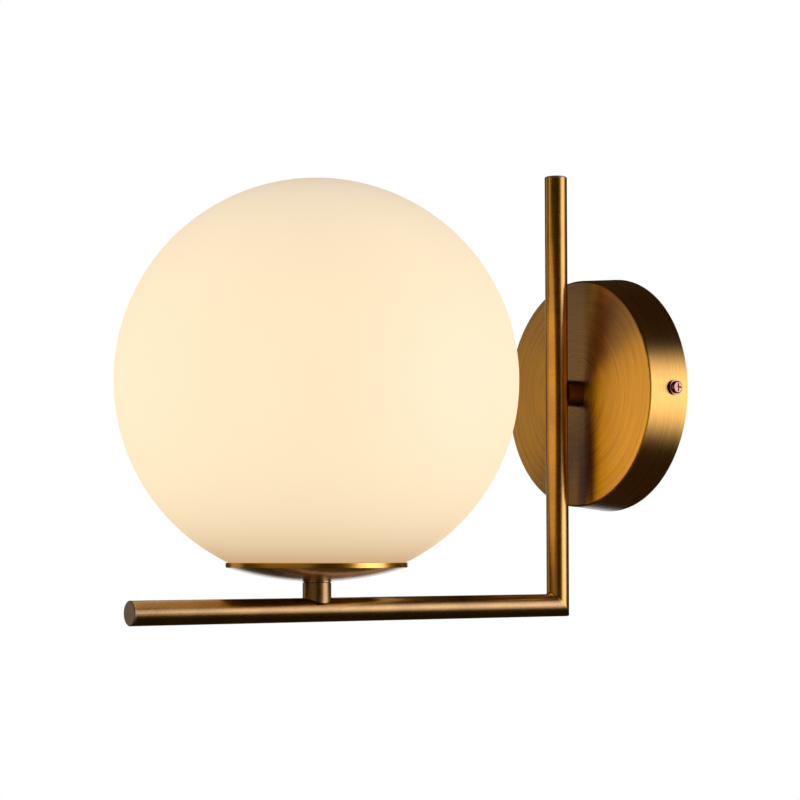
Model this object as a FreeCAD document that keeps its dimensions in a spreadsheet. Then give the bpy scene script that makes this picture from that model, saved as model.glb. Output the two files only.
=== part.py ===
"""Globe wall sconce, in millimetres.

Origin: the centre of the canopy's rear rim, on the wall plane.
+X to the right, +Y into the wall, +Z up. The room is on the -Y side.
"""
import FreeCAD, Part
import math
import os

import Sketcher

DOC = FreeCAD.newDocument("globe_wall_sconce")

# ---------------------------------------------------------------- driving sizes
SIZES = {
    # rods of the L frame
    "rod_dia": 12.0,
    "rod_wall": 1.0,
    "upright_standoff": 36.9,       # wall to the vertical rod's axis
    "upright_rise": 116.4,          # canopy centre to the vertical rod's top
    "arm_drop": 113.5,              # canopy centre to the horizontal rod's axis
    "arm_length": 252.3,            # vertical rod's axis to the horizontal rod's end
    "rod_cap_thickness": 1.2,
    "rod_cap_chamfer": 0.35,
    "corner_radius": 1.2,           # outer edge of the corner where the rods meet
    "rod_cap_spigot": 5.0,
    "rod_wire_hole_dia": 8.0,
    # canopy
    "canopy_front_dia": 122.0,
    "canopy_rear_dia": 126.4,
    "canopy_depth": 23.5,
    "canopy_sheet": 1.0,
    "canopy_edge_radius": 1.0,
    "side_slot_width": 4.6,
    "side_slot_front": 10.4,        # canopy face to the slot's front end
    "side_slot_rear": 17.7,         # canopy face to the slot's rear end
    "side_screw_setback": 15.3,     # canopy face to the side screws' axis
    # machine screws
    "side_screw_dia": 4.0,
    "side_screw_length": 9.0,
    "side_head_dia": 6.6,
    "side_head_height": 2.3,
    "side_head_round": 0.9,
    "side_head_gap": 0.5,
    "side_flange_dia": 8.2,
    "side_flange_thickness": 0.7,
    "recess_length": 4.2,
    "recess_width": 0.9,
    "recess_depth": 1.3,
    # wall bracket
    "bracket_sheet": 1.5,
    "bracket_height": 20.0,
    "bracket_gap": 0.86,            # canopy's inside to the ears' front corners
    "ear_reach": 16.0,
    "ear_bend_radius": 2.0,
    "wall_slot_spacing": 84.0,
    "wall_slot_width": 4.6,
    "wall_slot_length": 13.0,
    "cable_hole_dia": 13.0,
    "earth_boss_dia": 8.0,
    "earth_boss_height": 3.0,
    "earth_screw_x": 21.0,
    "earth_screw_dia": 4.0,
    "earth_head_dia": 7.6,
    "earth_head_height": 2.6,
    "earth_shank": 5.0,
    "lug_thickness": 0.8,
    "lug_dia": 8.0,
    "lug_barrel_dia": 3.2,
    "lug_barrel_length": 7.0,
    # terminal block
    "block_depth": 14.0,
    "block_height": 16.0,
    "block_x": -21.0,
    "pole_pitch": 8.0,
    "barrel_dia": 4.6,
    "barrel_bore": 2.4,
    "barrel_length": 14.0,
    "terminal_screw_dia": 2.6,
    "terminal_screw_offset": 4.5,
    "terminal_screw_recess": 0.6,
    "block_screw_dia": 2.0,
    "block_screw_head_dia": 3.2,
    "block_screw_head_height": 1.2,
    # threaded nipples and what is on them
    "nipple_dia": 10.0,
    "nipple_bore": 7.0,
    "nipple_rear": 6.2,             # canopy sheet's inside to the nipple's rear end
    "nipple_end_gap": 0.1,          # nipple's end to the rod's skin
    "thread_clearance": 0.05,
    "nut_corner_dia": 16.2,
    "nut_height": 3.0,
    "lock_washer_dia": 16.0,
    "lock_washer_thickness": 0.8,
    "bush_flange_dia": 9.6,
    "bush_flange_thickness": 1.0,
    "bush_length": 5.0,
    "bush_bore": 5.6,
    # coped sleeves
    "sleeve_excess": 2.2,           # stub's and stem's diameter over the rod's
    "stem_top": 13.4,               # horizontal rod's axis to the stem's top
    "cope_end": 3.5,                # rod's axis to the ends of a sleeve's lips
    "stem_washer_inset": 0.5,       # stem's skin to the washer's edge
    "stem_washer_thickness": 0.45,
    # dish
    "dish_dia": 90.0,
    "dish_seat_dia": 15.0,
    "dish_rim_height": 2.3,
    "dish_arc_radius": 147.0,
    "dish_sheet": 1.0,
    "dish_floor": 1.6,
    "dish_rim_wall": 0.8,
    "dish_rim_chamfer": 0.4,
    # glass globe
    "globe_dia": 200.0,
    "glass_thickness": 3.0,
    "globe_reach": 150.1,           # vertical rod's axis to the globe's centre
    "mouth_margin": 2.5,            # gasket's bore to the edge of the glass's mouth
    # shade fitter
    "fitter_sheet": 1.2,
    "fitter_height": 16.0,
    "fitter_foot_dia": 20.6,
    "fitter_shoulder": 4.1,         # fitter's foot to the lower end of its wall
    "fitter_play": 0.08,
    "ring_wall": 3.92,
    "ring_top_wall": 1.5,
    "ring_lip_width": 1.78,
    "gasket_inset": 2.5,            # dish's rim to the gasket's outside
    "gasket_width": 3.0,
    "gasket_thickness": 0.5,        # at the gasket's bore, its thin side
    "gasket_clearance": 0.35,
    "gasket_seat_gap": 0.1,
    # lampholder, heights above the stem washer
    "dish_washer_dia": 18.0,
    "dish_washer_thickness": 1.0,
    "dish_nut_height": 3.5,
    "stem_nipple_top": 12.0,
    "holder_dia": 39.0,
    "holder_wall": 1.6,
    "holder_neck_dia": 16.0,
    "holder_neck_height": 3.7,
    "holder_cone_height": 7.5,
    "holder_ledge": 28.0,
    "holder_ledge_width": 1.6,
    "holder_split": 35.0,
    "holder_bulb_gap": 2.0,         # holder's top to the bulb's collar
    "holder_lip_dia": 30.0,
    "holder_lip_thickness": 1.5,
    "insulator_thickness": 12.0,
    "insulator_gap": 0.1,
    "thread_shell_wall": 0.5,
    "thread_shell_length": 18.0,
    "centre_contact_dia": 7.0,
    "centre_contact_height": 1.5,
    "terminal_spacing": 16.0,
    "terminal_size": 5.0,
    "terminal_height": 5.0,
    "terminal_wire_depth": 2.5,
    "holder_screw_dia": 2.5,
    "holder_screw_head_dia": 4.4,
    "holder_screw_head_height": 1.2,
    "holder_wire_rise": 3.0,
    # bulb, heights above the centre contact
    "bulb_cap_dia": 26.4,
    "bulb_cap_play": 0.08,
    "bulb_thread_depth": 0.8,
    "bulb_thread_pitch": 3.6,
    "bulb_thread_turns": 4,
    "bulb_thread_start": 2.5,
    "bulb_tip_dia": 9.0,
    "bulb_tip_height": 1.5,
    "bulb_insulator_dia": 20.0,
    "bulb_insulator_height": 3.0,
    "bulb_cap_height": 18.0,
    "bulb_cap_wall": 0.5,
    "bulb_foot_dia": 30.0,
    "bulb_collar_height": 36.0,
    "bulb_collar_wall": 2.0,
    "bulb_dia": 60.0,
    "bulb_shell": 1.5,
    "bulb_seam_drop": 12.0,         # bulb's widest ring down to the envelope's edge
    "led_board_thickness": 1.6,
    "led_ledge_width": 2.4,
    # wires
    "wire_dia": 1.8,
    "wire_play": 0.05,
    "wire_pair_offset": 1.3,
    "wire_turn_radius": 5.4,
    "wire_corner_radius": 9.0,
    "wire_wall_gap": 6.6,           # wall to the wires behind the canopy nipple
    "wire_end_inset": 6.0,          # terminal block's face to a wire's end
    "live_loop_start": 14.0,
    "live_loop_bottom": 21.0,
    "live_loop_end": 17.0,
    "neutral_loop_start": 17.0,
    "neutral_loop_bottom": 28.0,
    "neutral_loop_end": 22.0,
    "earth_loop_start": 16.0,
    "earth_loop_top": 25.0,
    "earth_loop_end": 19.0,
    # margin by which cutting tools run past what they cut
    "overcut": 5.0,
}


def write_sheet(sizes):
    sheet = DOC.addObject("Spreadsheet::Sheet", "Sizes")
    for row, (alias, value) in enumerate(sizes.items(), start=1):
        sheet.set("A%d" % row, alias)
        sheet.set("B%d" % row, repr(value))
        sheet.setAlias("B%d" % row, alias)
    DOC.recompute()
    return sheet


SHEET = write_sheet(SIZES)


# ---------------------------------------------------------------- sizes that keep their formula
class Size:
    """A length with its value and with the formula that gives it from the sheet."""

    def __init__(self, value, formula):
        self.value = value
        self.formula = formula

    def __add__(self, other):
        other = as_size(other)
        return Size(self.value + other.value, "(%s + %s)" % (self.formula, other.formula))

    def __sub__(self, other):
        other = as_size(other)
        return Size(self.value - other.value, "(%s - %s)" % (self.formula, other.formula))

    def __mul__(self, other):
        other = as_size(other)
        return Size(self.value * other.value, "(%s * %s)" % (self.formula, other.formula))

    def __truediv__(self, other):
        other = as_size(other)
        return Size(self.value / other.value, "(%s / %s)" % (self.formula, other.formula))

    def __radd__(self, other):
        return as_size(other) + self

    def __rsub__(self, other):
        return as_size(other) - self

    def __rmul__(self, other):
        return as_size(other) * self

    def __neg__(self):
        return as_size(0) - self


def as_size(number):
    if isinstance(number, Size):
        return number
    return Size(float(number), repr(float(number)))


def size(alias):
    return Size(float(SHEET.get(alias)), "Sizes." + alias)


def root(square):
    return Size(math.sqrt(square.value), "sqrt(%s)" % square.formula)


def least(first, second):
    return Size(min(first.value, second.value), "min(%s; %s)" % (first.formula, second.formula))


def bind(item, name, amount):
    amount = as_size(amount)
    item.setExpression(name, amount.formula)


# ---------------------------------------------------------------- placing
UP = FreeCAD.Rotation()
ROOMWARD = FreeCAD.Rotation(FreeCAD.Vector(1, 0, 0), 90)      # local +Z becomes -Y
WALLWARD = FreeCAD.Rotation(FreeCAD.Vector(1, 0, 0), -90)     # local +Z becomes +Y
RIGHT = FreeCAD.Rotation(FreeCAD.Vector(0, 1, 0), 90)         # local +Z becomes +X
LEFT = FreeCAD.Rotation(FreeCAD.Vector(0, 1, 0), -90)         # local +Z becomes -X
SIDEWAYS = FreeCAD.Rotation(                                  # local +Z becomes +X, local +X becomes -Y
    FreeCAD.Vector(0, -1, 0), FreeCAD.Vector(0, 0, -1), FreeCAD.Vector(1, 0, 0)
)


def place(item, at, rotation=UP):
    item.Placement = FreeCAD.Placement(FreeCAD.Vector(), rotation)
    for axis, amount in zip("xyz", at):
        bind(item, "Placement.Base." + axis, amount)
    return item


# ---------------------------------------------------------------- shapes
def cylinder(name, radius, height, at=(0, 0, 0), rotation=UP):
    item = DOC.addObject("Part::Cylinder", name)
    bind(item, "Radius", radius)
    bind(item, "Height", height)
    return place(item, at, rotation)


def box(name, length, width, height, at=(0, 0, 0), rotation=UP):
    item = DOC.addObject("Part::Box", name)
    bind(item, "Length", length)
    bind(item, "Width", width)
    bind(item, "Height", height)
    return place(item, at, rotation)


def sphere(name, radius, at):
    item = DOC.addObject("Part::Sphere", name)
    bind(item, "Radius", radius)
    return place(item, at)


def cut(name, base, *tools):
    item = DOC.addObject("Part::Cut", name)
    item.Base = base
    item.Tool = tools[0] if len(tools) == 1 else fuse(name + "_tools", *tools)
    return item


def fuse(name, *shapes):
    item = DOC.addObject("Part::MultiFuse", name)
    item.Shapes = list(shapes)
    return item


def group(name, *shapes):
    item = DOC.addObject("Part::Compound", name)
    item.Links = list(shapes)
    return item


def tube(name, outer, inner, height, at=(0, 0, 0), rotation=UP):
    """A round tube, or a washer, from its two radii."""
    blank = cylinder(name + "_blank", outer, height, at, rotation)
    bore = cylinder(name + "_bore", inner, height, at, rotation)
    return cut(name, blank, bore)


def origin_plane(body, role):
    for feature in body.Origin.OriginFeatures:
        if feature.Role == role:
            return feature
    raise ValueError(role)


def hold_point(sketch, side, end, point):
    """Ties one end of a side to its two coordinates."""
    for kind, own_axis, amount in (("DistanceX", -2, point[0]), ("DistanceY", -1, point[1])):
        amount = as_size(amount)
        if amount.value == 0:
            sketch.addConstraint(Sketcher.Constraint("PointOnObject", side, end, own_axis))
            continue
        index = sketch.addConstraint(Sketcher.Constraint(kind, -1, 1, side, end, amount.value))
        sketch.setExpression("Constraints[%d]" % index, amount.formula)


def arc_between(start, end, radius):
    """A counterclockwise arc. It bulges to the right of the way from start to end if radius > 0."""
    half = (end - start).Length / 2
    right = FreeCAD.Vector(end.y - start.y, start.x - end.x, 0).normalize()
    inset = math.copysign(math.sqrt(radius * radius - half * half), radius)
    centre = (start + end) / 2 - right * inset
    first, last = (start, end) if radius > 0 else (end, start)
    angles = [math.atan2(point.y - centre.y, point.x - centre.x) for point in (first, last)]
    if angles[1] < angles[0]:
        angles[1] += 2 * math.pi
    circle = Part.Circle(centre, FreeCAD.Vector(0, 0, 1), abs(radius))
    return Part.ArcOfCircle(circle, *angles)


def draw(body, role, points, arcs=None):
    """A closed outline on an origin plane. arcs maps a side's number to its radius, as in arc_between."""
    arcs = {side: as_size(radius) for side, radius in (arcs or {}).items()}
    sketch = body.newObject("Sketcher::SketchObject", body.Name + "_outline")
    sketch.AttachmentSupport = [(origin_plane(body, role), "")]
    sketch.MapMode = "FlatFace"
    corners = [FreeCAD.Vector(as_size(u).value, as_size(v).value, 0) for u, v in points]
    count = len(corners)
    for side in range(count):
        start, end = corners[side], corners[(side + 1) % count]
        if side in arcs:
            sketch.addGeometry(arc_between(start, end, arcs[side].value))
        else:
            sketch.addGeometry(Part.LineSegment(start, end))
    ends = [(2, 1) if side in arcs and arcs[side].value < 0 else (1, 2) for side in range(count)]
    for side in range(count):
        following = (side + 1) % count
        sketch.addConstraint(
            Sketcher.Constraint("Coincident", side, ends[side][1], following, ends[following][0])
        )
        hold_point(sketch, side, ends[side][0], points[side])
    for side, radius in arcs.items():
        length = radius if radius.value > 0 else -radius
        index = sketch.addConstraint(Sketcher.Constraint("Radius", side, length.value))
        sketch.setExpression("Constraints[%d]" % index, length.formula)
    return sketch


def turned(name, points, at, rotation=UP, arcs=None):
    """A body turned about its own Z axis from an outline of (radius, height) points."""
    body = DOC.addObject("PartDesign::Body", name)
    sketch = draw(body, "XZ_Plane", points, arcs)
    turn = body.newObject("PartDesign::Revolution", name + "_turning")
    turn.Profile = sketch
    turn.ReferenceAxis = (sketch, ["V_Axis"])
    turn.Angle = 360
    body.Tip = turn
    return place(body, at, rotation)


def slab(name, points, depth, at, rotation=UP):
    """A flat outline on the body's own XY plane, padded by depth to both sides together."""
    body = DOC.addObject("PartDesign::Body", name)
    sketch = draw(body, "XY_Plane", points)
    pad = body.newObject("PartDesign::Pad", name + "_pad")
    pad.Profile = sketch
    pad.Midplane = True
    bind(pad, "Length", depth)
    body.Tip = pad
    return place(body, at, rotation)


def slot_tool(name, length, width, depth, at, rotation):
    """A round-ended slot along the local X axis, cut along the local Z axis, centred on at."""
    straight = length - width
    body = box(name + "_middle", straight, width, depth, (-straight / 2, -width / 2, 0))
    ends = [
        cylinder(name + "_end_%d" % number, width / 2, depth, (straight * sign / 2, 0, 0))
        for number, sign in enumerate((-1, 1))
    ]
    return place(fuse(name, body, *ends), at, rotation)


# ---------------------------------------------------------------- stations
overcut = size("overcut")
rod_radius = size("rod_dia") / 2
rod_bore = rod_radius - size("rod_wall")
canopy_depth = size("canopy_depth")
canopy_inside = canopy_depth - size("canopy_sheet")
upright_y = -size("upright_standoff")
arm_z = -size("arm_drop")
shade_y = upright_y - size("globe_reach")
nipple_radius = size("nipple_dia") / 2
nipple_hole = nipple_radius + size("thread_clearance")
sleeve_radius = rod_radius + size("sleeve_excess") / 2
block_axis_y = -size("bracket_sheet") - size("block_depth") / 2
block_screw_x = size("block_x") + size("pole_pitch") / 2
lug_wire_y = -size("bracket_sheet") - size("earth_boss_height") - size("lug_barrel_dia") / 2


def canopy_radius(from_face):
    """The canopy's outer radius at a distance from its face."""
    front = size("canopy_front_dia") / 2
    rear = size("canopy_rear_dia") / 2
    return front + (rear - front) * from_face / canopy_depth


def dish_skin(radius, sheet=0):
    """Height of the dish's round skin above its seat, at a radius, sheet further in."""
    arc = size("dish_arc_radius")
    inner = arc - sheet
    return arc - root(inner * inner - radius * radius)


def glass_drop(radius):
    """From the globe's centre down to the glass's outer skin, at a radius."""
    outer = size("globe_dia") / 2
    return root(outer * outer - radius * radius)


# radii of the shade's seat, from the dish's rim inwards
gasket_outside = size("dish_dia") / 2 - size("gasket_inset")
gasket_bore = gasket_outside - size("gasket_width")
mouth_radius = gasket_bore - size("mouth_margin")
ring_bore = mouth_radius - size("ring_wall")
fitter_radius = ring_bore - size("fitter_play")

# heights above the dish's seat on the stem washer
gasket_foot = dish_skin(gasket_bore, size("dish_sheet")) + size("gasket_seat_gap")
globe_rise = gasket_foot + size("gasket_thickness") + size("gasket_clearance") + glass_drop(gasket_bore)
contact_rise = size("holder_ledge") + size("insulator_thickness") + size("centre_contact_height")
holder_foot = (
    size("dish_floor") + size("fitter_sheet") + size("dish_washer_thickness") + size("dish_nut_height")
)

# heights above the bulb's seat on the centre contact
bulb_cap_foot = size("bulb_tip_height") + size("bulb_insulator_height")
bulb_cap_top = bulb_cap_foot + size("bulb_cap_height")
bulb_seam = bulb_cap_top + size("bulb_collar_height")
holder_top = contact_rise + bulb_cap_top - size("holder_bulb_gap")
bulb_seam_radius = root(
    size("bulb_dia") * size("bulb_dia") / 4 - size("bulb_seam_drop") * size("bulb_seam_drop")
)
board_radius = bulb_seam_radius - size("bulb_collar_wall")

dish_z = arm_z + size("stem_top") + size("stem_washer_thickness")
globe_z = dish_z + globe_rise
contact_z = dish_z + contact_rise
column = (0, shade_y, dish_z)
bulb_seat = (0, shade_y, contact_z)

# the part of a short run that each of its two bends may take
RUN_SHARE = 0.45
# radius of the arc that the stem's lips end in, over the sleeve's own radius
LIP_CURVE = 1.65
# turns about X that lay a mitre block's lower face on the corner's plane
MITRE_BELOW = 135
MITRE_ABOVE = -45


# ---------------------------------------------------------------- wall side
def canopy():
    """A pressed cup with a slight flare, open at the wall, with a side slot at the left and the right."""
    front = size("canopy_front_dia") / 2
    rear = size("canopy_rear_dia") / 2
    sheet = size("canopy_sheet")
    edge = size("canopy_edge_radius")
    outline = [
        (rear, 0),
        (front, canopy_depth - edge),
        (front - edge, canopy_depth),
        (nipple_hole, canopy_depth),
        (nipple_hole, canopy_inside),
        (front - sheet, canopy_inside),
        (rear - sheet, 0),
    ]
    cup = turned("canopy_cup", outline, (0, 0, 0), ROOMWARD, {1: edge})
    length = size("side_slot_rear") - size("side_slot_front")
    middle = canopy_depth - (size("side_slot_rear") + size("side_slot_front")) / 2
    reach = rear + overcut
    slots = slot_tool(
        "side_slots", length, size("side_slot_width"), reach * 2, (-reach, -middle, 0), SIDEWAYS
    )
    return cut("canopy", cup, slots)


def pan_screw(name, sizes, at, rotation, flange=()):
    """A pan-head screw. Its own origin is under the head, with the head towards its +Z.

    flange holds the radius and thickness of a flange under the head, if it has one.
    """
    shank, length, head, height, rounding = sizes
    foot = [(head, 0)]
    if flange:
        radius, thickness = flange
        foot = [(radius, 0), (radius, thickness), (head, thickness)]
    outline = [
        (0, -length),
        (shank, -length),
        (shank, 0),
        *foot,
        (head, height - rounding),
        (head - rounding, height),
        (0, height),
    ]
    blank = turned(name + "_blank", outline, (0, 0, 0), arcs={3 + len(foot): rounding})
    width = size("recess_width")
    depth = size("recess_depth")
    span = size("recess_length")
    bars = [
        box(name + "_bar_x", span, width, depth + overcut, (-span / 2, -width / 2, height - depth)),
        box(name + "_bar_y", width, span, depth + overcut, (-width / 2, -span / 2, height - depth)),
    ]
    screw = cut(name, blank, *bars)
    return place(screw, at, rotation)


def side_screws():
    """One flanged screw at each side. The canopy's flare leaves a gap under their heads."""
    sizes = (
        size("side_screw_dia") / 2,
        size("side_screw_length"),
        size("side_head_dia") / 2,
        size("side_head_height"),
        size("side_head_round"),
    )
    flange = size("side_flange_dia") / 2, size("side_flange_thickness")
    station = size("side_screw_setback") - canopy_depth
    seat = canopy_radius(size("side_screw_setback")) + size("side_head_gap")
    pair = [
        pan_screw("side_screw_right", sizes, (seat, station, 0), RIGHT, flange),
        pan_screw("side_screw_left", sizes, (-seat, station, 0), LEFT, flange),
    ]
    return group("side_screws", *pair)


def bracket_half_span():
    """Half the width over the ears, whose corners stay clear of the canopy's inside at both ends."""
    canopy_there = least(canopy_radius(canopy_depth - size("ear_reach")), canopy_radius(canopy_depth))
    corner = canopy_there - size("canopy_sheet") - size("bracket_gap")
    height = size("bracket_height") / 2
    return root(corner * corner - height * height)


def wall_bracket():
    """A steel strap flat on the wall, with an ear at each end that takes a side screw."""
    sheet = size("bracket_sheet")
    half = bracket_half_span()
    reach = size("ear_reach")
    bend = size("ear_bend_radius")
    outline = [
        (-half, -reach),
        (-half + sheet, -reach),
        (-half + sheet, -sheet - bend),
        (-half + sheet + bend, -sheet),
        (half - sheet - bend, -sheet),
        (half - sheet, -sheet - bend),
        (half - sheet, -reach),
        (half, -reach),
        (half, -bend - sheet),
        (half - bend - sheet, 0),
        (-half + bend + sheet, 0),
        (-half, -bend - sheet),
    ]
    arcs = {2: -bend, 4: -bend, 8: bend + sheet, 10: bend + sheet}
    strap = slab("bracket_strap", outline, size("bracket_height"), (0, 0, 0))
    boss_radius = size("earth_boss_dia") / 2
    boss_at = (size("earth_screw_x"), -sheet, 0)
    boss = cylinder("earth_boss", boss_radius, size("earth_boss_height"), boss_at, ROOMWARD)
    return cut("wall_bracket", fuse("bracket_with_boss", strap, boss), *bracket_holes())


def bracket_holes():
    """Two slots for the wall screws, the cable hole and the tapped holes."""
    through = size("bracket_sheet") + overcut * 2
    rear = overcut
    play = size("thread_clearance")
    holes = []
    for number, sign in enumerate((-1, 1)):
        at = (size("wall_slot_spacing") * sign / 2, rear - through, 0)
        name = "wall_slot_%d" % number
        holes.append(
            slot_tool(name, size("wall_slot_length"), size("wall_slot_width"), through, at, WALLWARD)
        )
    holes.append(cylinder("cable_hole", size("cable_hole_dia") / 2, through, (0, rear, 0), ROOMWARD))
    earth = size("earth_screw_dia") / 2 + play
    earth_depth = through + size("earth_boss_height")
    holes.append(cylinder("earth_hole", earth, earth_depth, (size("earth_screw_x"), rear, 0), ROOMWARD))
    block = size("block_screw_dia") / 2 + play
    holes.append(cylinder("block_hole", block, through, (block_screw_x, rear, 0), ROOMWARD))
    far = bracket_half_span() + overcut
    ear = size("side_screw_dia") / 2 + play
    station = size("side_screw_setback") - canopy_depth
    holes.append(cylinder("ear_holes", ear, far * 2, (-far, station, 0), RIGHT))
    return holes


def terminal_block():
    """A three-pole block that stands on the strap, bored along Z for its poles."""
    pitch = size("pole_pitch")
    width = pitch * 3
    depth = size("block_depth")
    height = size("block_height")
    corner = (size("block_x") - width / 2, -size("bracket_sheet") - depth, -height / 2)
    blank = box("block_blank", width, depth, height, corner)
    play = size("thread_clearance")
    long_hole = height + overcut * 2
    tools = []
    for number, pole in enumerate(pole_stations()):
        bore = size("barrel_dia") / 2 + play
        at = (pole, block_axis_y, -long_hole / 2)
        tools.append(cylinder("pole_bore_%d" % number, bore, long_hole, at))
        for side, sign in enumerate((-1, 1)):
            at = (pole, block_axis_y, size("terminal_screw_offset") * sign)
            radius = size("terminal_screw_dia") / 2 + play
            name = "screw_way_%d_%d" % (number, side)
            tools.append(cylinder(name, radius, depth, at, ROOMWARD))
    fixing = size("block_screw_dia") / 2 + play
    at = (block_screw_x, 0, 0)
    tools.append(cylinder("block_fixing_way", fixing, depth + overcut * 2, at, ROOMWARD))
    return cut("terminal_block", blank, *tools)


def pole_stations():
    return [size("block_x") + size("pole_pitch") * step for step in (-1, 0, 1)]


def terminal_barrels():
    length = size("barrel_length")
    play = size("thread_clearance")
    barrels = []
    for number, pole in enumerate(pole_stations()):
        name = "barrel_%d" % number
        at = (pole, block_axis_y, -length / 2)
        sleeve = tube(name + "_sleeve", size("barrel_dia") / 2, size("barrel_bore") / 2, length, at)
        ways = []
        for side, sign in enumerate((-1, 1)):
            at = (pole, block_axis_y, size("terminal_screw_offset") * sign)
            radius = size("terminal_screw_dia") / 2 + play
            ways.append(cylinder("%s_way_%d" % (name, side), radius, size("block_depth"), at, ROOMWARD))
        barrels.append(cut(name, sleeve, *ways))
    return group("terminal_barrels", *barrels)


def terminal_screws():
    """Grub screws from just under the block's front down to the wires."""
    tip = size("wire_dia") / 2 + size("wire_play")
    length = size("block_depth") / 2 - size("terminal_screw_recess") - tip
    radius = size("terminal_screw_dia") / 2
    screws = []
    for number, pole in enumerate(pole_stations()):
        for side, sign in enumerate((-1, 1)):
            at = (pole, block_axis_y - tip, size("terminal_screw_offset") * sign)
            screws.append(cylinder("grub_%d_%d" % (number, side), radius, length, at, ROOMWARD))
    return group("terminal_screws", *screws)


def plain_screw(name, shank, length, head, height, at, rotation):
    """A cheese-head screw. Its own origin is under the head, with the head towards its +Z."""
    outline = [(0, -length), (shank, -length), (shank, 0), (head, 0), (head, height), (0, height)]
    return turned(name, outline, at, rotation)


def block_screw():
    length = size("block_depth") + size("bracket_sheet") - size("wire_play")
    return plain_screw(
        "block_screw",
        size("block_screw_dia") / 2,
        length,
        size("block_screw_head_dia") / 2,
        size("block_screw_head_height"),
        (block_screw_x, -size("block_depth") - size("bracket_sheet"), 0),
        ROOMWARD,
    )


def earth_screw():
    sizes = (
        size("earth_screw_dia") / 2,
        size("earth_shank"),
        size("earth_head_dia") / 2,
        size("earth_head_height"),
        size("side_head_round"),
    )
    seat = size("bracket_sheet") + size("earth_boss_height") + size("lug_thickness")
    return pan_screw("earth_screw", sizes, (size("earth_screw_x"), -seat, 0), ROOMWARD)


def earth_lug():
    """A ring terminal under the earth screw's head, with a barrel that grips the wire."""
    x = size("earth_screw_x")
    seat = size("bracket_sheet") + size("earth_boss_height")
    thickness = size("lug_thickness")
    ring = cylinder("lug_ring", size("lug_dia") / 2, thickness, (x, -seat, 0), ROOMWARD)
    radius = size("lug_barrel_dia") / 2
    length = size("lug_barrel_length")
    grip = cylinder("lug_grip", radius, length, (x, lug_wire_y, size("earth_boss_dia") / 2))
    tongue = box("lug_tongue", radius * 2, thickness, length, (x - radius, -seat - thickness, 0))
    hole = size("earth_screw_dia") / 2 + size("thread_clearance")
    screw_way = cylinder("lug_screw_way", hole, thickness * 3, (x, thickness - seat, 0), ROOMWARD)
    bore = size("wire_dia") / 2 + size("wire_play")
    wire_way = cylinder("lug_wire_way", bore, length + overcut, (x, lug_wire_y, size("earth_boss_dia") / 2))
    head_room = cylinder(
        "lug_head_room",
        size("earth_head_dia") / 2 + size("wire_play"),
        overcut,
        (x, -seat - thickness, 0),
        ROOMWARD,
    )
    return cut("earth_lug", fuse("lug_blank", ring, grip, tongue), screw_way, wire_way, head_room)


# ---------------------------------------------------------------- canopy to rods
def canopy_nipple():
    rear = canopy_inside - size("nipple_rear")
    front = size("upright_standoff") - rod_radius - size("nipple_end_gap")
    bore = size("nipple_bore") / 2
    return tube("canopy_nipple", nipple_radius, bore, front - rear, (0, -rear, 0), ROOMWARD)


def hex_nut(name, corner_radius, height, at, rotation=UP):
    blank = DOC.addObject("Part::Prism", name + "_blank")
    blank.Polygon = 6
    bind(blank, "Circumradius", corner_radius)
    bind(blank, "Height", height)
    place(blank, at, rotation)
    return cut(name, blank, cylinder(name + "_hole", nipple_hole, height, at, rotation))


def canopy_nut():
    rear = canopy_inside - size("lock_washer_thickness") - size("nut_height")
    return hex_nut("canopy_nut", size("nut_corner_dia") / 2, size("nut_height"), (0, -rear, 0), ROOMWARD)


def canopy_lock_washer():
    thickness = size("lock_washer_thickness")
    at = (0, thickness - canopy_inside, 0)
    return tube("canopy_lock_washer", size("lock_washer_dia") / 2, nipple_hole, thickness, at, ROOMWARD)


def nipple_bush():
    """A plastic bush that keeps the wires off the nipple's rear edge."""
    spigot = size("nipple_bore") / 2 - size("thread_clearance")
    flange = size("bush_flange_dia") / 2
    bore = size("bush_bore") / 2
    thickness = size("bush_flange_thickness")
    outline = [
        (bore, -thickness),
        (flange, -thickness),
        (flange, 0),
        (spigot, 0),
        (spigot, size("bush_length")),
        (bore, size("bush_length")),
    ]
    return turned("nipple_bush", outline, (0, size("nipple_rear") - canopy_inside, 0), ROOMWARD)


def sleeve_outline(bore, outer, low, high):
    return [(bore, low), (outer, low), (outer, high), (bore, high)]


def stub():
    """The short sleeve from the canopy to the vertical rod, coped to the rod."""
    far = size("upright_standoff") - size("cope_end")
    outline = sleeve_outline(nipple_hole, sleeve_radius, canopy_depth, far)
    blank = turned("stub_blank", outline, (0, 0, 0), ROOMWARD)
    cope = cylinder("stub_cope", rod_radius, sleeve_radius * 4, (0, upright_y, -sleeve_radius * 2))
    return cut("stub", blank, cope)


def mitre_half(name, angle):
    """A block whose lower face is the mitre plane, turned by angle about X."""
    reach = size("rod_dia") * 2
    block = box(name + "_block", reach * 2, reach * 2, reach, (-reach, -reach, 0))
    half = group(name, block)
    return place(half, (0, upright_y, arm_z), FreeCAD.Rotation(FreeCAD.Vector(1, 0, 0), angle))


def corner_trim(name):
    """What the outer edge of the rods' corner loses to its rounding."""
    radius = size("corner_radius")
    reach = size("rod_dia")
    y = upright_y + rod_radius - radius
    z = arm_z - rod_radius + radius
    edge = box(name + "_edge", reach * 2, radius * 2, radius * 2, (-reach, y, z - radius * 2))
    round_edge = cylinder(name + "_round", radius, reach * 4, (-reach * 2, y, z), RIGHT)
    return cut(name, edge, round_edge)


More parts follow.
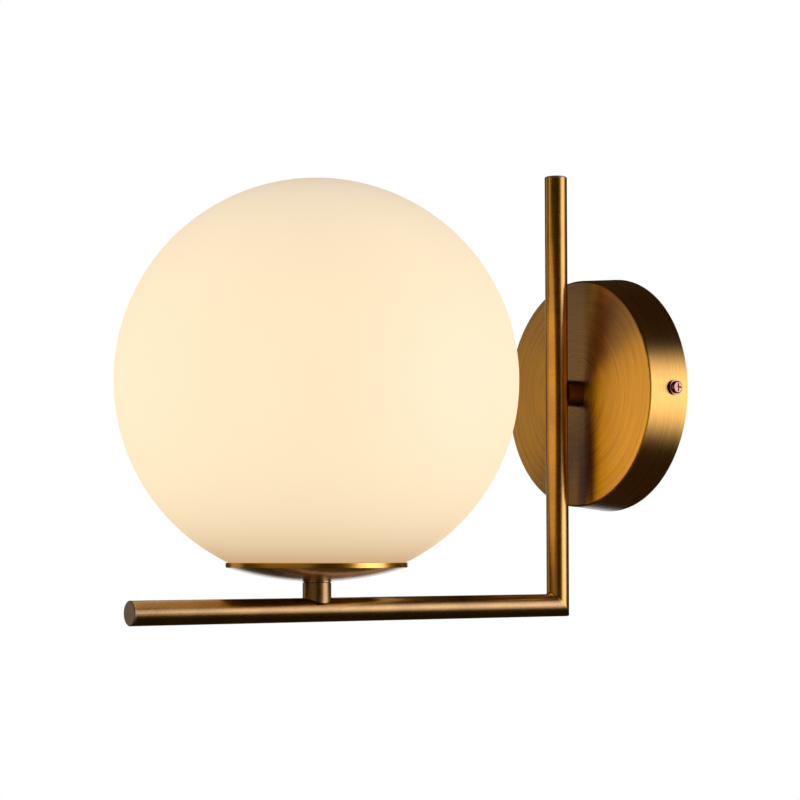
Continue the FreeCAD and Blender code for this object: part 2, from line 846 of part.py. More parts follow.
def vertical_rod():
    start = arm_z - size("rod_dia")
    length = size("upright_rise") - size("rod_cap_thickness") - start
    blank = tube("upright_tube", rod_radius, rod_bore, length, (0, upright_y, start))
    hole = size("rod_wire_hole_dia") / 2
    wire_way = cylinder("upright_wire_way", hole, size("rod_dia"), (0, upright_y, 0), WALLWARD)
    mitre = mitre_half("mitre_below", MITRE_BELOW)
    return cut("vertical_rod", blank, mitre, wire_way, corner_trim("upright_corner"))


def horizontal_rod():
    length = size("arm_length") - size("rod_cap_thickness") + size("rod_dia")
    start = (0, upright_y + size("rod_dia"), arm_z)
    blank = tube("arm_tube", rod_radius, rod_bore, length, start, ROOMWARD)
    hole = size("rod_wire_hole_dia") / 2
    wire_way = cylinder("arm_wire_way", hole, size("rod_dia"), (0, shade_y, arm_z))
    mitre = mitre_half("mitre_above", MITRE_ABOVE)
    return cut("horizontal_rod", blank, mitre, wire_way, corner_trim("arm_corner"))


def rod_cap(name, at, rotation):
    """A flat end cap with a spigot inside the tube. Its own origin is at the tube's end."""
    thickness = size("rod_cap_thickness")
    chamfer = size("rod_cap_chamfer")
    spigot = rod_bore - size("thread_clearance")
    outline = [
        (0, -size("rod_cap_spigot")),
        (spigot, -size("rod_cap_spigot")),
        (spigot, 0),
        (rod_radius, 0),
        (rod_radius, thickness - chamfer),
        (rod_radius - chamfer, thickness),
        (0, thickness),
    ]
    return turned(name, outline, at, rotation)


def vertical_rod_cap():
    return rod_cap("vertical_rod_cap", (0, upright_y, size("upright_rise") - size("rod_cap_thickness")), UP)


def horizontal_rod_cap():
    end = upright_y - size("arm_length") + size("rod_cap_thickness")
    return rod_cap("horizontal_rod_cap", (0, end, arm_z), ROOMWARD)


# ---------------------------------------------------------------- stem, dish and shade
def lip_trim():
    """What the stem's lips lose, so that they end in an arc: lowest beside the rod, highest over it."""
    arc = sleeve_radius * LIP_CURVE
    reach = sleeve_radius * 2
    low = arm_z + size("cope_end")
    block = box("lip_block", reach * 2, reach * 2, arc * 2, (-reach, shade_y - reach, low - arc))
    round_end = cylinder("lip_round", arc, reach * 4, (-reach * 2, shade_y, low + arc), RIGHT)
    return cut("lip_trim", block, round_end)


def stem():
    """The sleeve under the dish, coped to the horizontal rod."""
    outline = sleeve_outline(nipple_hole, sleeve_radius, size("cope_end"), size("stem_top"))
    blank = turned("stem_blank", outline, (0, shade_y, arm_z))
    start = (0, shade_y + sleeve_radius * 2, arm_z)
    cope = cylinder("stem_cope", rod_radius, sleeve_radius * 4, start, ROOMWARD)
    return cut("stem", blank, cope, lip_trim())


def stem_washer():
    radius = sleeve_radius - size("stem_washer_inset")
    at = (0, shade_y, arm_z + size("stem_top"))
    return tube("stem_washer", radius, nipple_hole, size("stem_washer_thickness"), at)


def stem_nipple():
    low = arm_z + rod_radius + size("nipple_end_gap")
    high = dish_z + size("stem_nipple_top")
    return tube("stem_nipple", nipple_radius, size("nipple_bore") / 2, high - low, (0, shade_y, low))


def dish():
    """A shallow spun dish with a low upright rim and a flat pad on the stem."""
    arc = size("dish_arc_radius")
    sheet = size("dish_sheet")
    floor = size("dish_floor")
    seat = size("dish_seat_dia") / 2
    rim = size("dish_dia") / 2
    rim_inside = rim - size("dish_rim_wall")
    chamfer = size("dish_rim_chamfer")
    top = dish_skin(rim) + size("dish_rim_height")
    floor_radius = root((arc - sheet) * (arc - sheet) - (arc - floor) * (arc - floor))
    outline = [
        (nipple_hole, 0),
        (seat, 0),
        (seat, dish_skin(seat)),
        (rim, dish_skin(rim)),
        (rim, top),
        (rim_inside + chamfer, top),
        (rim_inside, top - chamfer),
        (rim_inside, dish_skin(rim_inside, sheet)),
        (floor_radius, floor),
        (nipple_hole, floor),
    ]
    return turned("dish", outline, column, arcs={2: arc, 7: sheet - arc})


def fitter_cup():
    """The pressed cup on the dish's floor whose wall carries the shade's neck ring."""
    radius = fitter_radius
    foot = size("fitter_foot_dia") / 2
    sheet = size("fitter_sheet")
    low = size("dish_floor")
    shoulder = low + size("fitter_shoulder")
    top = low + size("fitter_height")
    outline = [
        (nipple_hole, low),
        (foot, low),
        (radius, shoulder),
        (radius, top),
        (radius - sheet, top),
        (radius - sheet, shoulder + sheet),
        (foot, low + sheet),
        (nipple_hole, low + sheet),
    ]
    return turned("fitter_cup", outline, column)


def neck_ring():
    """The ring bonded in the glass's mouth. Its shoulder rests on the fitter cup's edge."""
    foot = globe_rise - glass_drop(mouth_radius)
    lip = ring_bore - size("ring_lip_width")
    shoulder = size("dish_floor") + size("fitter_height")
    top = shoulder + size("ring_top_wall")
    outline = [
        (ring_bore, foot),
        (mouth_radius, foot),
        (mouth_radius, top),
        (lip, top),
        (lip, shoulder),
        (ring_bore, shoulder),
    ]
    return turned("neck_ring", outline, column)


def shade_gasket():
    """A soft ring in the wedge between the dish and the glass."""
    outer_foot = dish_skin(gasket_outside, size("dish_sheet")) + size("gasket_seat_gap")
    outline = [
        (gasket_bore, gasket_foot),
        (gasket_outside, outer_foot),
        (gasket_outside, globe_rise - glass_drop(gasket_outside) - size("gasket_clearance")),
        (gasket_bore, gasket_foot + size("gasket_thickness")),
    ]
    return turned("shade_gasket", outline, column)


def globe_shade():
    """A hollow glass ball, cut off square at its mouth."""
    radius = size("globe_dia") / 2
    centre = (0, shade_y, globe_z)
    outside = sphere("globe_outside", radius, centre)
    inside = sphere("globe_inside", radius - size("glass_thickness"), centre)
    mouth = cylinder("globe_mouth", mouth_radius, radius, (0, shade_y, globe_z - radius))
    return cut("globe_shade", outside, inside, mouth)


# ---------------------------------------------------------------- lampholder
def dish_washer():
    low = size("dish_floor") + size("fitter_sheet")
    at = (0, shade_y, dish_z + low)
    return tube("dish_washer", size("dish_washer_dia") / 2, nipple_hole, size("dish_washer_thickness"), at)


def dish_nut():
    low = holder_foot - size("dish_nut_height")
    at = (0, shade_y, dish_z + low)
    return hex_nut("dish_nut", size("nut_corner_dia") / 2, size("dish_nut_height"), at)


def holder_base():
    """The lower cap of the lampholder: a threaded neck, a cone and a wall with a ledge in it."""
    outer = size("holder_dia") / 2
    wall = size("holder_wall")
    neck = size("holder_neck_dia") / 2
    ledge = size("holder_ledge")
    inner = outer - wall - size("holder_ledge_width")
    neck_top = holder_foot + size("holder_neck_height")
    cone_top = neck_top + size("holder_cone_height")
    outline = [
        (nipple_hole, holder_foot),
        (neck, holder_foot),
        (neck, neck_top),
        (outer, cone_top),
        (outer, size("holder_split")),
        (outer - wall, size("holder_split")),
        (outer - wall, ledge),
        (inner, ledge),
        (inner, cone_top + wall),
        (neck - wall, neck_top + wall),
        (nipple_hole, neck_top + wall),
    ]
    return turned("holder_base", outline, column)


def holder_skirt():
    outer = size("holder_dia") / 2
    inner = outer - size("holder_wall")
    lip = size("holder_lip_dia") / 2
    lip_foot = holder_top - size("holder_lip_thickness")
    outline = [
        (outer, size("holder_split")),
        (outer, holder_top),
        (lip, holder_top),
        (lip, lip_foot),
        (inner, lip_foot),
        (inner, size("holder_split")),
    ]
    return turned("holder_skirt", outline, column)


def holder_insulator():
    radius = size("holder_dia") / 2 - size("holder_wall") - size("insulator_gap")
    at = (0, shade_y, dish_z + size("holder_ledge"))
    return cylinder("holder_insulator", radius, size("insulator_thickness"), at)


def holder_thread_shell():
    bore = size("bulb_cap_dia") / 2 + size("bulb_cap_play")
    outer = bore + size("thread_shell_wall")
    at = (0, shade_y, contact_z - size("centre_contact_height"))
    return tube("holder_thread_shell", outer, bore, size("thread_shell_length"), at)


def holder_centre_contact():
    height = size("centre_contact_height")
    radius = size("centre_contact_dia") / 2
    return cylinder("holder_centre_contact", radius, height, (0, shade_y, contact_z - height))


def terminal_sides():
    return [size("terminal_spacing") * sign / 2 for sign in (-1, 1)]


def holder_terminals():
    """Two brass posts under the insulator, each bored for its wire and for its screw."""
    side = size("terminal_size")
    height = size("terminal_height")
    low = dish_z + size("holder_ledge") - height
    wire_bore = size("wire_dia") / 2 + size("wire_play")
    screw_bore = size("holder_screw_dia") / 2 + size("thread_clearance")
    posts = []
    for number, x in enumerate(terminal_sides()):
        name = "terminal_post_%d" % number
        blank = box(name + "_blank", side, side, height, (x - side / 2, shade_y - side / 2, low))
        wire_way = cylinder(name + "_wire_way", wire_bore, size("terminal_wire_depth"), (x, shade_y, low))
        at = (x, shade_y, low + size("terminal_wire_depth") / 2)
        screw_way = cylinder(name + "_screw_way", screw_bore, side, at, ROOMWARD)
        posts.append(cut(name, blank, wire_way, screw_way))
    return group("holder_terminals", *posts)


def holder_terminal_screws():
    shank = size("terminal_size") / 2 - size("wire_dia") / 2 - size("wire_play")
    height = dish_z + size("holder_ledge") - size("terminal_height") + size("terminal_wire_depth") / 2
    screws = []
    for number, x in enumerate(terminal_sides()):
        screws.append(
            plain_screw(
                "post_screw_%d" % number,
                size("holder_screw_dia") / 2,
                shank,
                size("holder_screw_head_dia") / 2,
                size("holder_screw_head_height"),
                (x, shade_y - size("terminal_size") / 2, height),
                ROOMWARD,
            )
        )
    return group("holder_terminal_screws", *screws)


# ---------------------------------------------------------------- bulb
def bulb_contact():
    height = size("bulb_tip_height")
    radius = size("bulb_tip_dia") / 2
    outline = [(0, 0), (radius / 2, 0), (radius, height), (0, height)]
    return turned("bulb_contact", outline, bulb_seat)


def bulb_insulator():
    low = size("bulb_tip_height")
    high = low + size("bulb_insulator_height")
    outline = [(0, low), (size("bulb_tip_dia") / 2, low), (size("bulb_insulator_dia") / 2, high), (0, high)]
    return turned("bulb_insulator", outline, bulb_seat)


def bulb_cap():
    """The screw cap: a thin cup whose wall is rolled into rings at the thread's pitch."""
    crest = size("bulb_cap_dia") / 2
    valley = crest - size("bulb_thread_depth")
    wall = size("bulb_cap_wall")
    pitch = size("bulb_thread_pitch")
    start = bulb_cap_foot + size("bulb_thread_start")
    outline = [(0, bulb_cap_foot), (size("bulb_insulator_dia") / 2, bulb_cap_foot)]
    for turn in range(int(SIZES["bulb_thread_turns"])):
        low = start + pitch * turn
        outline += [
            (valley, low),
            (crest, low + pitch / 4),
            (crest, low + pitch / 2),
            (valley, low + pitch * 3 / 4),
        ]
    outline += [
        (valley, bulb_cap_top),
        (valley - wall, bulb_cap_top),
        (valley - wall, start),
        (size("bulb_insulator_dia") / 2 - wall, bulb_cap_foot + wall),
        (0, bulb_cap_foot + wall),
    ]
    return turned("bulb_cap", outline, bulb_seat)


def bulb_collar():
    """The bulb's housing: a hollow cone with a ledge for the light board."""
    foot = size("bulb_foot_dia") / 2
    wall = size("bulb_collar_wall")
    ledge = bulb_seam - size("led_board_thickness")
    outline = [
        (foot - wall * 2, bulb_cap_top),
        (foot, bulb_cap_top),
        (bulb_seam_radius, bulb_seam),
        (board_radius, bulb_seam),
        (board_radius, ledge),
        (board_radius - size("led_ledge_width"), ledge),
        (foot - wall, bulb_cap_top + wall),
        (foot - wall * 2, bulb_cap_top + wall),
    ]
    return turned("bulb_collar", outline, bulb_seat)


def led_board():
    radius = board_radius - size("thread_clearance")
    at = (0, shade_y, contact_z + bulb_seam - size("led_board_thickness"))
    return cylinder("led_board", radius, size("led_board_thickness"), at)


def bulb_envelope():
    radius = size("bulb_dia") / 2
    centre = contact_z + bulb_seam + size("bulb_seam_drop")
    outside = sphere("envelope_outside", radius, (0, shade_y, centre))
    inside = sphere("envelope_inside", radius - size("bulb_shell"), (0, shade_y, centre))
    below = cylinder("envelope_below", radius * 2, radius, (0, shade_y, contact_z + bulb_seam - radius))
    return cut("bulb_envelope", outside, inside, below)


# ---------------------------------------------------------------- wires
def turn_angle(before, corner, after):
    return (corner - before).getAngle(after - corner)


def routed_wire(name, points, radii):
    """A round wire along straight runs joined by tangent arcs, one radius for each inner point."""
    corners = [FreeCAD.Vector(*[as_size(part).value for part in point]) for point in points]
    edges = []
    start = corners[0]
    for index, radius in enumerate(radii, start=1):
        before, corner, after = corners[index - 1 : index + 2]
        setback = radius * math.tan(turn_angle(before, corner, after) / 2)
        inward = (before - corner).normalize()
        onward = (after - corner).normalize()
        arc_start = corner + inward * setback
        arc_end = corner + onward * setback
        bisector = (inward + onward).normalize()
        centre = corner + bisector * math.hypot(radius, setback)
        middle = centre - bisector * radius
        edges.append(Part.LineSegment(start, arc_start).toShape())
        edges.append(Part.Arc(arc_start, middle, arc_end).toShape())
        start = arc_end
    edges.append(Part.LineSegment(start, corners[-1]).toShape())
    path = Part.Wire(edges)
    radius = size("wire_dia").value / 2
    section = Part.Wire(Part.makeCircle(radius, corners[0], corners[1] - corners[0]))
    solid = path.makePipeShell([section], True, False)
    expected = math.pi * radius * radius * path.Length
    print(name, "radii", [round(value, 1) for value in radii], "volume ratio", solid.Volume / expected)
    wire = DOC.addObject("Part::Feature", name)
    wire.Shape = solid
    return wire


def free_radii(points):
    """The largest radius at each inner point that both its runs allow."""
    corners = [FreeCAD.Vector(*[as_size(part).value for part in point]) for point in points]
    radii = []
    for before, corner, after in zip(corners, corners[1:], corners[2:]):
        run = min((corner - before).Length, (after - corner).Length)
        radii.append(RUN_SHARE * run / math.tan(turn_angle(before, corner, after) / 2))
    return radii


def lamp_wire(name, sign, pole, loop):
    """From the holder's post, through stem, rods and stub, round a loop and into the terminal block."""
    x = size("wire_pair_offset") * sign
    post_x = size("terminal_spacing") * sign / 2
    post_low = dish_z + size("holder_ledge") - size("terminal_height")
    wall_y = -size("wire_wall_gap")
    start, bottom, end = loop
    post_run = [
        (post_x, shade_y, post_low + size("terminal_wire_depth")),
        (post_x, shade_y, post_low - size("holder_wire_rise") / 2),
        (x, shade_y, dish_z + size("stem_nipple_top") + size("holder_wire_rise")),
    ]
    frame_run = [(x, shade_y, arm_z), (x, upright_y, arm_z), (x, upright_y, 0), (x, wall_y, 0)]
    loop_run = [
        (x, wall_y, -start),
        ((x + pole) / 2, (block_axis_y + wall_y) / 2, -bottom),
        (pole, block_axis_y, -end),
        (pole, block_axis_y, size("wire_end_inset") - size("block_height") / 2),
    ]
    turn = size("wire_turn_radius").value
    corner = size("wire_corner_radius").value
    post_radii = free_radii(post_run + frame_run[:1])
    loop_radii = free_radii(frame_run[-1:] + loop_run)
    radii = post_radii + [turn, corner, turn, turn] + loop_radii
    return routed_wire(name, post_run + frame_run + loop_run, radii)


def live_wire():
    loop = (size("live_loop_start"), size("live_loop_bottom"), size("live_loop_end"))
    return lamp_wire("live_wire", -1, pole_stations()[1], loop)


def neutral_wire():
    loop = (size("neutral_loop_start"), size("neutral_loop_bottom"), size("neutral_loop_end"))
    return lamp_wire("neutral_wire", 1, pole_stations()[0], loop)


def earth_wire():
    x = size("earth_screw_x")
    pole = pole_stations()[2]
    points = [
        (x, lug_wire_y, size("earth_boss_dia") / 2 + size("wire_dia")),
        (x, lug_wire_y, size("earth_loop_start")),
        ((x + pole) / 2, (lug_wire_y + block_axis_y) / 2, size("earth_loop_top")),
        (pole, block_axis_y, size("earth_loop_end")),
        (pole, block_axis_y, size("block_height") / 2 - size("wire_end_inset")),
    ]
    return routed_wire("earth_wire", points, free_radii(points))


PIECES = (
    wall_bracket,
    side_screws,
    terminal_block,
    terminal_barrels,
    terminal_screws,
    block_screw,
    earth_screw,
    earth_lug,
    canopy,
    canopy_nipple,
    canopy_nut,
    canopy_lock_washer,
    nipple_bush,
    stub,
    vertical_rod,
    vertical_rod_cap,
    horizontal_rod,
    horizontal_rod_cap,
    stem,
    stem_washer,
    stem_nipple,
    dish,
    fitter_cup,
    dish_washer,
    dish_nut,
    shade_gasket,
    neck_ring,
    globe_shade,
    holder_base,
    holder_skirt,
    holder_insulator,
    holder_thread_shell,
    holder_centre_contact,
    holder_terminals,
    holder_terminal_screws,
    bulb_contact,
    bulb_insulator,
    bulb_cap,
    bulb_collar,
    led_board,
    bulb_envelope,
    live_wire,
    neutral_wire,
    earth_wire,
)


def build():
    nodes = []
    for piece in PIECES:
        node = piece()
        node.Label = piece.__name__
        nodes.append(node)
    DOC.recompute()
    return nodes


def check(nodes):
    """Stops at any object that failed to compute and at any piece without a sound solid."""
    for item in DOC.Objects:
        failed = {"Invalid", "Error"} & set(item.State)
        if failed:
            raise RuntimeError("%s is %s" % (item.Label, ", ".join(sorted(failed))))
    for node in nodes:
        shape = node.Shape
        if shape.isNull() or not shape.isValid() or not shape.Solids:
            raise RuntimeError("%s has no sound solid" % node.Label)


def write(nodes):
    os.makedirs("parts", exist_ok=True)
    for node in nodes:
        node.Shape.exportStep("parts/%s.step" % node.Label)
        print("%-24s solids %d  volume %10.1f" % (node.Label, len(node.Shape.Solids), node.Shape.Volume))


NODES = build()
check(NODES)
write(NODES)
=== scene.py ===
"""Globe wall sconce: its looks, stage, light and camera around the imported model.

Lengths are in metres unless a name ends in MM. The frame is the CAD's: the wall is the
plane Y = 0, the room is on the -Y side and +Z is up.
"""
import math

import bmesh
import bpy
from mathutils import Matrix, Vector

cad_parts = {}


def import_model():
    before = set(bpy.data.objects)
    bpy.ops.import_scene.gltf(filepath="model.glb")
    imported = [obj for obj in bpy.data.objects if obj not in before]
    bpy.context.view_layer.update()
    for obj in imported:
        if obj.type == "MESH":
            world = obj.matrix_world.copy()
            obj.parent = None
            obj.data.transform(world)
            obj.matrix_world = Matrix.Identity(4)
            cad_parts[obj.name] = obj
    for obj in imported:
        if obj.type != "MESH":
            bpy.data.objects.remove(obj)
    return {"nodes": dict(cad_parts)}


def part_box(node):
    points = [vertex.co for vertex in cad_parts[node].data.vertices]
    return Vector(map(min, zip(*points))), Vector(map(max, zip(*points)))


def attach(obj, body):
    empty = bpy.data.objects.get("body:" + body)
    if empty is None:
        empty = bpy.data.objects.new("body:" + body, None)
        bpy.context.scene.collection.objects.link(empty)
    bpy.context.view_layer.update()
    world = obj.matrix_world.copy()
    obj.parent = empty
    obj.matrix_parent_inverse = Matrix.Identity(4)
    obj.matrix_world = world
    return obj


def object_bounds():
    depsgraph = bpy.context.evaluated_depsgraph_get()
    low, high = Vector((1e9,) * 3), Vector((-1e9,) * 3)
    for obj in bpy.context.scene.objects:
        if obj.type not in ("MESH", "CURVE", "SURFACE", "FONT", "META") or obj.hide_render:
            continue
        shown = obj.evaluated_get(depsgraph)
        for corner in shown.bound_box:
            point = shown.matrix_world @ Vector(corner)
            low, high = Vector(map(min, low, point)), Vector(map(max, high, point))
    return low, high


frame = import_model()
CAD_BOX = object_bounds()
NODES = frame["nodes"]
MM = 0.001


# ---------------------------------------------------------------- places read from the frame
def middle(node):
    low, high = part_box(node)
    return (low + high) / 2


def radius_of(node, axis):
    """Half of a round node's width along an axis across it."""
    low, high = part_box(node)
    return (high[axis] - low[axis]) / 2


X, Y, Z = 0, 1, 2
SHADE_AXIS = middle("dish")


# ---------------------------------------------------------------- materials
class Look:
    """A material around one Principled BSDF, with short calls for the nodes that feed it."""

    def __init__(self, name):
        self.material = bpy.data.materials.new(name)
        self.material.use_nodes = True
        self.nodes = self.material.node_tree.nodes
        self.links = self.material.node_tree.links
        self.surface = self.nodes["Principled BSDF"]
        place = self.nodes.new("ShaderNodeTexCoord").outputs["Object"]
        self.place = self.vector("MULTIPLY", place, (1 / MM,) * 3)

    def feed(self, socket, value):
        """Links a socket to another one, or sets it to a number, a colour or a vector."""
        if isinstance(value, bpy.types.NodeSocket):
            self.links.new(value, socket)
        elif socket.type == "RGBA":
            socket.default_value = (*value, 1)
        else:
            socket.default_value = value

    def node(self, kind, inputs, **settings):
        made = self.nodes.new("ShaderNode" + kind)
        for name, value in settings.items():
            setattr(made, name, value)
        for name, value in inputs.items():
            self.feed(made.inputs[name], value)
        return made

    def vector(self, operation, first, second=(0, 0, 0)):
        made = self.node("VectorMath", {0: first, 1: second}, operation=operation)
        return made.outputs["Vector"]

    def math(self, operation, first, second=0, third=0):
        inputs = {0: first, 1: second, 2: third}
        return self.node("Math", inputs, operation=operation).outputs[0]

    def scaled(self, value, low, high):
        """Spreads a value from 0..1 to low..high."""
        inputs = {"Value": value, "To Min": low, "To Max": high}
        return self.node("MapRange", inputs).outputs["Result"]

    def stretched(self, x, y, z):
        """The place in millimetres, times a factor on each axis."""
        return self.vector("MULTIPLY", self.place, (x, y, z))

    def noise(self, where, scale=1, detail=2, roughness=0.5):
        inputs = {"Vector": where, "Scale": scale, "Detail": detail, "Roughness": roughness}
        return self.node("TexNoise", inputs).outputs["Fac"]

    def ramp(self, value, *stops):
        """Colours along a value, from (position, colour) pairs."""
        made = self.node("ValToRGB", {"Fac": value})
        elements = made.color_ramp.elements
        while len(elements) < len(stops):
            elements.new(0.5)
        for element, (position, colour) in zip(elements, stops):
            element.position = position
            element.color = (*colour, 1)
        return made.outputs["Color"]

    def blend(self, factor, first, second):
        made = self.node("Mix", {"Factor": factor}, data_type="RGBA")
        self.feed(made.inputs[6], first)
        self.feed(made.inputs[7], second)
        return made.outputs[2]

    def around(self, centre, across):
        """Distance from an axis and the two parts of the direction from it, in millimetres."""
        offset = self.vector("SUBTRACT", self.place, tuple(Vector(centre) / MM))
        parts = self.node("SeparateXYZ", {"Vector": offset}).outputs
        first, second = (parts[index] for index in across)
        square = self.math("MULTIPLY_ADD", second, second, self.math("MULTIPLY", first, first))
        distance = self.math("SQRT", square)
        return distance, self.math("DIVIDE", first, distance), self.math("DIVIDE", second, distance)

    def turned_lines(self, centre, across, lines, drift=1.0):
        """Fine lines left by turning round an axis, lines of them in a millimetre."""
        distance, east, north = self.around(centre, across)
        along = ({X, Y, Z} - set(across)).pop()
        depth = self.node("SeparateXYZ", {"Vector": self.place}).outputs[along]
        run = self.math("MULTIPLY", self.math("ADD", distance, depth), lines)
        inputs = {
            "X": run,
            "Y": self.math("MULTIPLY", east, drift),
            "Z": self.math("MULTIPLY", north, drift),
        }
        where = self.node("CombineXYZ", inputs).outputs["Vector"]
        return self.noise(where, detail=3, roughness=0.6)

    def bump(self, height, distance, strength=1.0, under=None):
        inputs = {"Height": height, "Distance": distance, "Strength": strength}
        if under is not None:
            inputs["Normal"] = under
        return self.node("Bump", inputs).outputs["Normal"]

    def shape(self, **sockets):
        """Sets the Principled BSDF's sockets, with _ for a space in a name."""
        for name, value in sockets.items():
            title = name.replace("_", " ").title().replace("Ior", "IOR")
            self.feed(self.surface.inputs[title], value)
        return self.material


# brass under clear lacquer: the dark and bright ends of its patina, on the rods and where it is spun
BRASS_DEEP = (0.44, 0.195, 0.008)
BRASS_BRIGHT = (0.70, 0.325, 0.016)
# on the canopy's front the painted rod shade pulls the colour down towards SPUN_DARK
SPUN_DARK = (0.26, 0.125, 0.020)
SPUN_DEEP = (0.66, 0.305, 0.008)
SPUN_BRIGHT = (0.94, 0.460, 0.016)


def brass(name, roughness, grain, deep=BRASS_DEEP, bright=BRASS_BRIGHT, **sockets):
    """Lacquered antique brass. grain is how many marks a millimetre holds along x, y and z."""
    look = Look(name)
    clouds = look.noise(look.place, scale=0.045, detail=4)
    fine = look.noise(look.stretched(*grain), detail=3, roughness=0.6)
    tone = look.math("ADD", look.math("MULTIPLY", fine, 0.5), look.math("MULTIPLY", clouds, 0.5))
    settings = {
        "base_color": look.ramp(tone, (0.35, deep), (0.65, bright)),
        "metallic": 1.0,
        "roughness": look.scaled(fine, roughness - 0.06, roughness + 0.06),
        "normal": look.bump(fine, 0.000012, 0.4),
        "coat_weight": 1.0,
        "coat_roughness": 0.2,
    }
    settings.update(sockets)
    look.shape(**settings)
    return look


# painted shade on the canopy's front: its colour darkens towards the rod, standing in for the upright
# rod's shadow and dark reflection; in millimetres from the rod's middle
ROD_SHADE_MIDDLE = 2
ROD_SHADE_DARK = 7
ROD_SHADE_END = 20
ROD_SHADE_LEVEL = 0.5


def painted_rod_shade(look, across):
    """How bright the painted shade of the upright rod leaves the front at a place across it, from the
    rod outwards.
    """
    away = look.math("ABSOLUTE", look.math("SUBTRACT", across, ROD_SHADE_MIDDLE))
    inputs = {
        "Value": away,
        "From Min": ROD_SHADE_DARK,
        "From Max": ROD_SHADE_END,
        "To Min": ROD_SHADE_LEVEL,
        "To Max": 1.0,
    }
    return look.node("MapRange", inputs, interpolation_type="SMOOTHSTEP").outputs["Result"]


def pressed_front(look, facing, place, pressed):
    """The normals of a front that is pressed a little out of flat."""
    lean, crown, twist = pressed
    parts = look.node("SeparateXYZ", {"Vector": facing}).outputs
    front = look.math("MAXIMUM", 0, look.math("MULTIPLY", parts["Y"], -1))
    turn = look.math("MULTIPLY_ADD", place["X"], crown, look.math("MULTIPLY", place["Z"], twist))
    rise = look.math("MULTIPLY_ADD", place["Z"], crown, lean)
    bend = {"X": look.math("MULTIPLY", front, turn), "Z": look.math("MULTIPLY", front, rise)}
    bent = look.vector("ADD", facing, look.node("CombineXYZ", bend).outputs["Vector"])
    return look.vector("NORMALIZE", bent)


def turned_brass(name, roughness, centre, across, lines, anisotropy, pressed=None, **sockets):
    """Lacquered antique brass with the lines that turning or spinning leaves.

    pressed is how far from flat the front is: its lean, then by how much it turns for each
    millimetre from its middle (its crown) and of height (its twist).
    """
    look = Look(name)
    cuts = look.turned_lines(centre, across, lines)
    broad = look.turned_lines(centre, across, lines / 7)
    clouds = look.noise(look.place, scale=0.03, detail=3)
    tone = look.math("ADD", look.math("MULTIPLY", cuts, 0.7), look.math("MULTIPLY", broad, 0.15))
    tone = look.math("ADD", tone, look.math("MULTIPLY", clouds, 0.15))
    axis = "XYZ"[({X, Y, Z} - set(across)).pop()]
    tangent = look.node("Tangent", {}, direction_type="RADIAL", axis=axis).outputs["Tangent"]
    facing = look.node("NewGeometry", {}).outputs["Normal"]
    if pressed:
        place = look.node("SeparateXYZ", {"Vector": look.place}).outputs
        facing = pressed_front(look, facing, place, pressed)
        # painted shade: the tone is darkened near the upright rod, in place of the rod's shadow and
        # dark reflection on the front
        tone = look.math("MULTIPLY", tone, painted_rod_shade(look, place["X"]))
    settings = {
        "base_color": look.ramp(tone, (0.18, SPUN_DARK), (0.40, SPUN_DEEP), (0.62, SPUN_BRIGHT)),
        "metallic": 1.0,
        "roughness": look.scaled(cuts, roughness - 0.06, roughness + 0.08),
        "anisotropic": anisotropy,
        "anisotropic_rotation": 0.25,
        "tangent": tangent,
        "normal": look.bump(cuts, 0.00002, 0.6, facing),
        "coat_weight": 1.0,
        "coat_roughness": 0.25,
    }
    settings.update(sockets)
    look.shape(**settings)
    return look


def plain(name, colour, roughness, spread=0.06, grain=3.0, height=0.00001, metallic=0.0):
    """A surface of one colour with a slight grain and clouding."""
    look = Look(name)
    darker = tuple(part * (1 - spread) for part in colour)
    lighter = tuple(min(1, part * (1 + spread)) for part in colour)
    clouds = look.noise(look.place, scale=0.2, detail=4)
    fine = look.noise(look.place, scale=grain, detail=2)
    look.shape(
        base_color=look.ramp(clouds, (0.3, darker), (0.7, lighter)),
        roughness=look.scaled(fine, roughness - 0.05, roughness + 0.05),
        metallic=metallic,
        normal=look.bump(fine, height, 0.5),
    )
    return look


# the glass's painted glow, emission in place of the bulb's light: the colour of its body, and the
# darker ones that it fades to at its mouth and its top, painted shade
GLOW_BODY = (0.87, 0.69, 0.42)
GLOW_FOOT = (0.54, 0.33, 0.14)
GLOW_TOP = (0.60, 0.48, 0.36)
MOUTH_HEIGHT = 0.06         # share of the globe's height that its mouth cuts off
FOOT_FADE = 0.048           # shares of its height in which each fade halves
TOP_FADE = 0.08


def opal():
    """Satin opal glass with a painted glow, emission in place of the bulb's light: as bright all over,
    a little less at the top and the foot, painted shade.
    """
    look = Look("opal_glass")
    low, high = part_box("globe_shade")
    radius = (high.x - low.x) / 2
    centre = Vector((0, SHADE_AXIS.y, high.z - radius))
    offset = look.vector("SUBTRACT", look.place, tuple(centre / MM))
    height = look.node("SeparateXYZ", {"Vector": offset}).outputs["Z"]
    share = look.math("ADD", look.math("DIVIDE", height, 2 * radius / MM), 0.5)
    # painted shade: the glow fades at the foot, next to the dish, and at the top
    over_mouth = look.math("SUBTRACT", share, MOUTH_HEIGHT)
    foot = look.math("POWER", 0.5, look.math("DIVIDE", over_mouth, FOOT_FADE))
    under_top = look.math("SUBTRACT", 1, share)
    top = look.math("POWER", 0.5, look.math("DIVIDE", under_top, TOP_FADE))
    glow = look.blend(top, look.blend(foot, GLOW_BODY, GLOW_FOOT), GLOW_TOP)
    clouds = look.noise(look.place, scale=0.02, detail=2)
    fine = look.noise(look.place, scale=2.5, detail=2)
    look.shape(
        base_color=look.ramp(clouds, (0.3, (0.245, 0.245, 0.245)), (0.7, (0.255, 0.255, 0.250))),
        roughness=look.scaled(fine, 0.46, 0.54),
        specular_ior_level=0.2,
        normal=look.bump(fine, 0.000004, 0.3),
        # painted light: the glass glows in place of the bulb lighting it
        emission_color=glow,
        emission_strength=look.scaled(clouds, 0.985, 1.015),
    )
    return look


